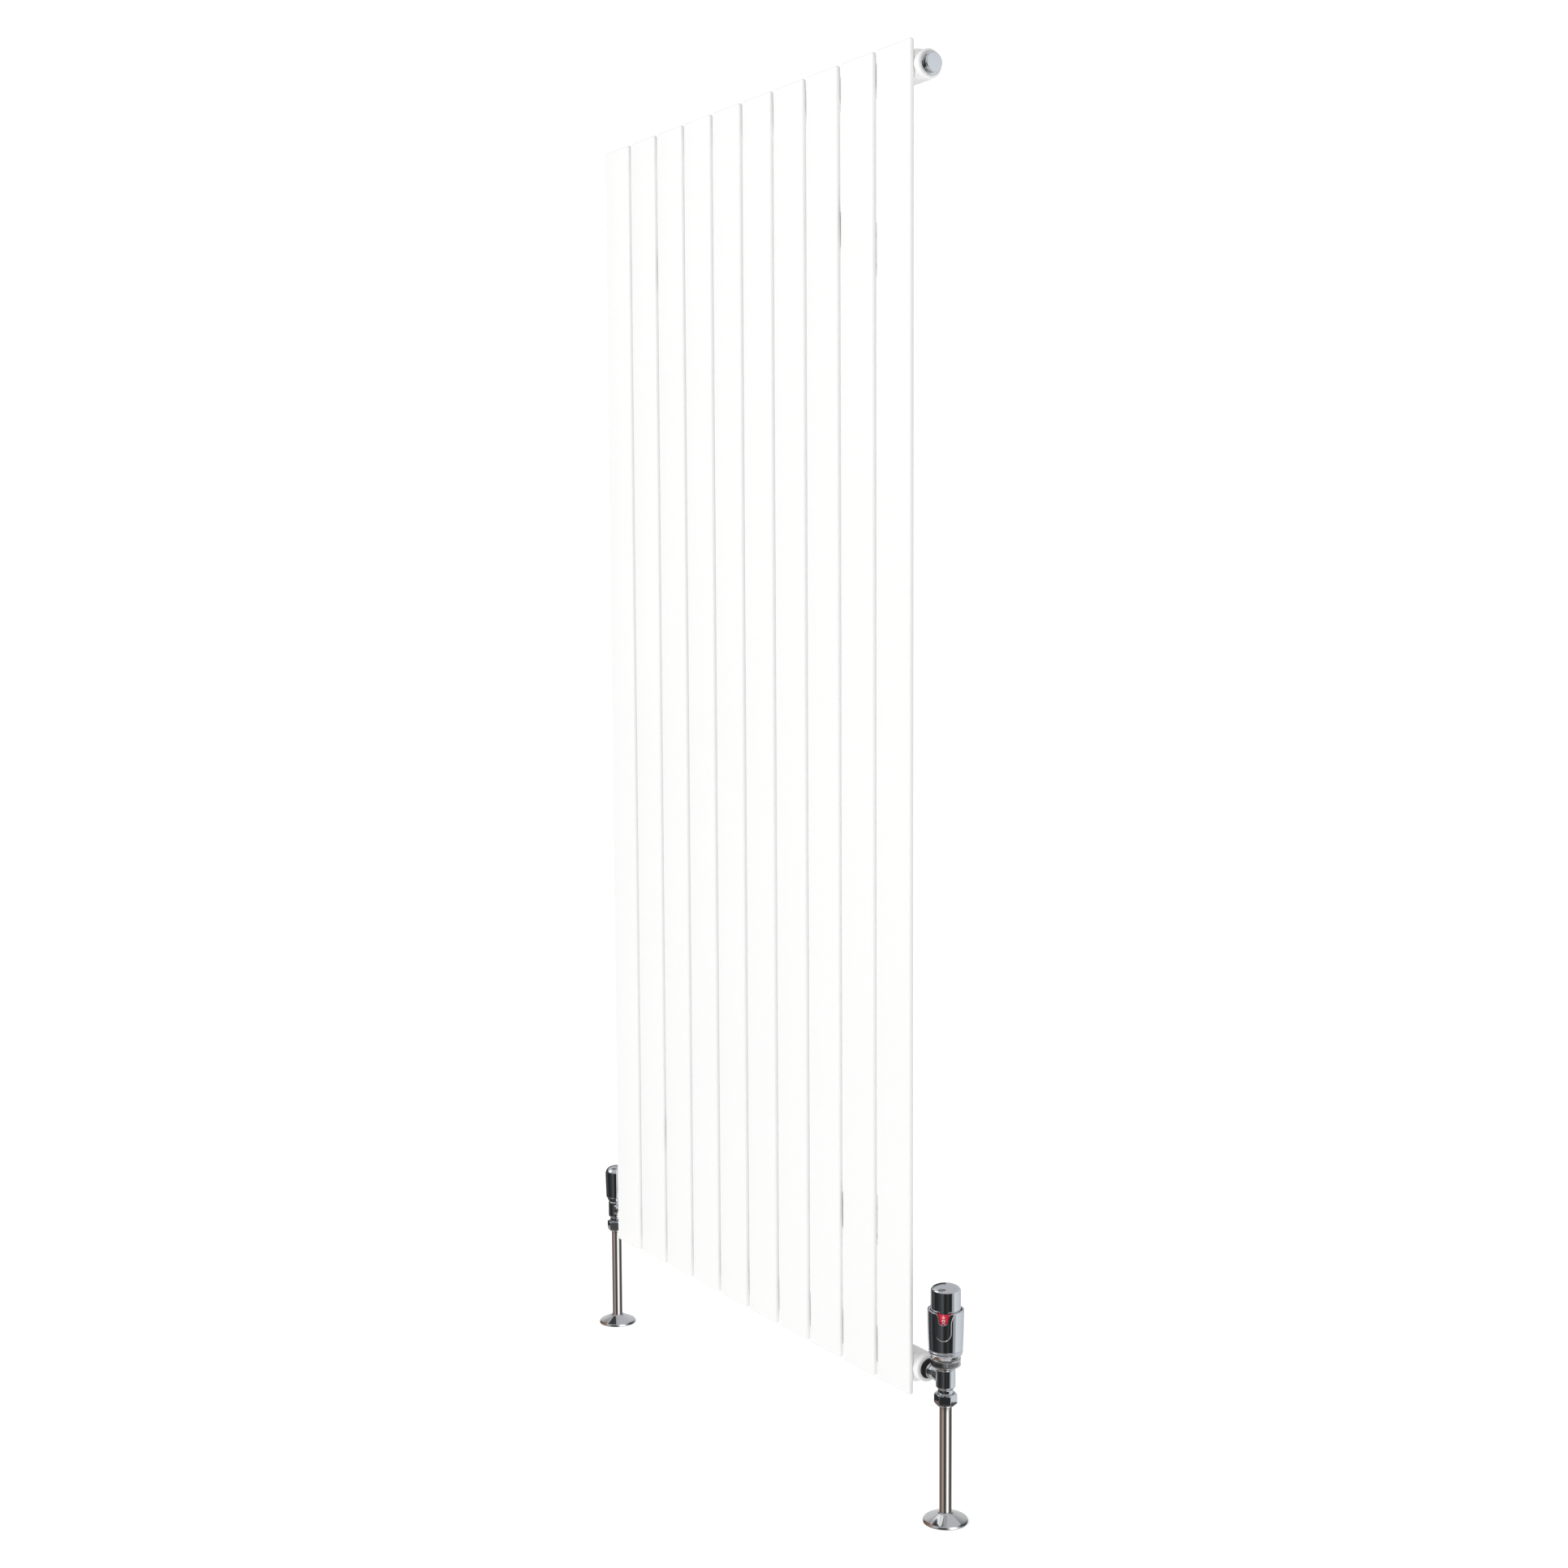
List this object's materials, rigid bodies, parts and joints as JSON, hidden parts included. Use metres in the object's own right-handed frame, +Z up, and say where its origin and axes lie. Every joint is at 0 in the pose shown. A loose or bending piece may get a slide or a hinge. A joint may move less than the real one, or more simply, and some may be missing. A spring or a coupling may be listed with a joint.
{
  "type": "vertical panel radiator with thermostatic valve",
  "caption": "Tall white flat-panel column radiator with a chrome angled thermostatic valve, a matching lockshield valve, floor pipes and wall brackets.",
  "frame": {"origin": "centre of the footprint at floor level, under the middle of the panels", "axes": "+Z up along the panels, +X towards the thermostatic valve, +Y back towards the wall, so the front faces -Y"},
  "size_m": [0.897, 0.07, 1.745],
  "materials": {
    "white_paint": "satin powder coat",
    "chrome": "polished",
    "satin_pipe": "satin",
    "spring_steel": "drawn",
    "brass": "machined",
    "rubber": "matte",
    "red_plastic": "gloss",
    "grey_plastic": "matte"
  },
  "bodies": {
    "radiator": {"panel_01": "white_paint", "panel_02": "white_paint", "panel_03": "white_paint", "panel_04": "white_paint", "panel_05": "white_paint", "panel_06": "white_paint", "panel_07": "white_paint", "panel_08": "white_paint", "panel_09": "white_paint", "panel_10": "white_paint", "header_bottom": "white_paint", "boss_bottom_left": "white_paint", "hanging_lug_bottom_left": "white_paint", "wall_bracket_bottom_left": "white_paint", "boss_bottom_right": "white_paint", "hanging_lug_bottom_right": "white_paint", "wall_bracket_bottom_right": "white_paint", "header_top": "white_paint", "boss_top_left": "white_paint", "hanging_lug_top_left": "white_paint", "wall_bracket_top_left": "white_paint", "boss_top_right": "white_paint", "hanging_lug_top_right": "white_paint", "wall_bracket_top_right": "white_paint", "blanking_plug": "chrome", "blanking_plug_seal": "rubber", "vent_plug": "chrome", "vent_plug_seal": "rubber", "trv_body": "chrome", "trv_tail": "chrome", "trv_tail_seal": "rubber", "trv_compression_nut": "chrome", "trv_olive": "brass", "lockshield_body": "chrome", "lockshield_tail": "chrome", "lockshield_tail_seal": "rubber", "lockshield_compression_nut": "chrome", "lockshield_olive": "brass", "pipe_left": "satin_pipe", "pipe_right": "satin_pipe", "trv_insert": "chrome", "lockshield_gland": "chrome"},
    "trv_closing_set": {"trv_pin": "spring_steel", "trv_disc": "brass", "trv_disc_washer": "rubber", "trv_return_spring": "spring_steel"},
    "trv_head": {"trv_head_base": "grey_plastic", "trv_shroud": "chrome"},
    "trv_head_nut": {"trv_ring_nut": "satin_pipe"},
    "trv_sensing_element": {"trv_sensor": "grey_plastic"},
    "trv_handle": {"trv_cap": "chrome", "trv_dial_band": "red_plastic"},
    "lockshield_stem": {"lockshield_spindle": "brass"},
    "lockshield_closing_plug": {"lockshield_plug": "brass"},
    "lockshield_cover": {"lockshield_cap": "chrome"},
    "air_bleed_screw": {"bleed_screw": "brass"},
    "collar_left": {"floor_collar_left": "chrome"},
    "collar_right": {"floor_collar_right": "chrome"}
  },
  "joints": [
    {"name": "trv_head_lift_off", "type": "slide", "parent": "radiator", "child": "trv_head", "axis": [0, 0, 1], "range_m": [0, 0.06]},
    {"name": "trv_head_nut_turn", "type": "hinge", "parent": "trv_head", "child": "trv_head_nut", "pos_m": [0.421, -0.0075, 0.178], "axis": [0, 0, 1], "range_deg": [0, 720]},
    {"name": "trv_handle_turn", "type": "hinge", "parent": "trv_head", "child": "trv_handle", "pos_m": [0.421, -0.0075, 0.178], "axis": [0, 0, 1], "range_deg": [-168, 112]},
    {"name": "trv_sensor_travel", "type": "slide", "parent": "trv_head", "child": "trv_sensing_element", "axis": [0, 0, 1], "range_m": [-0.0019, 0.0013]},
    {"name": "trv_pin_travel", "type": "slide", "parent": "radiator", "child": "trv_closing_set", "axis": [0, 0, 1], "range_m": [-0.0019, 0.0013], "deforming": ["trv_return_spring"]},
    {"name": "lockshield_cap_lift_off", "type": "slide", "parent": "radiator", "child": "lockshield_cover", "axis": [0, 0, 1], "range_m": [0, 0.05]},
    {"name": "lockshield_spindle_turn", "type": "hinge", "parent": "radiator", "child": "lockshield_stem", "pos_m": [-0.421, -0.0075, 0.178], "axis": [0, 0, 1], "range_deg": [-720, 540]},
    {"name": "lockshield_plug_travel", "type": "slide", "parent": "radiator", "child": "lockshield_closing_plug", "axis": [0, 0, 1], "range_m": [-0.0021, 0.0016]},
    {"name": "bleed_screw_turn", "type": "hinge", "parent": "radiator", "child": "air_bleed_screw", "pos_m": [-0.3868, -0.0075, 1.716], "axis": [-1, 0, 0], "range_deg": [0, 540]},
    {"name": "floor_collar_left_slide", "type": "slide", "parent": "radiator", "child": "collar_left", "axis": [0, 0, 1], "range_m": [0, 0.1]},
    {"name": "floor_collar_right_slide", "type": "slide", "parent": "radiator", "child": "collar_right", "axis": [0, 0, 1], "range_m": [0, 0.1]}
  ],
  "couplings": [
    {"joint": "trv_sensor_travel", "follows": "trv_handle_turn", "m_per_rad": 0.0006139},
    {"joint": "trv_pin_travel", "follows": "trv_handle_turn", "m_per_rad": 0.0006139},
    {"joint": "lockshield_plug_travel", "follows": "lockshield_spindle_turn", "m_per_rad": 0.000159}
  ]
}
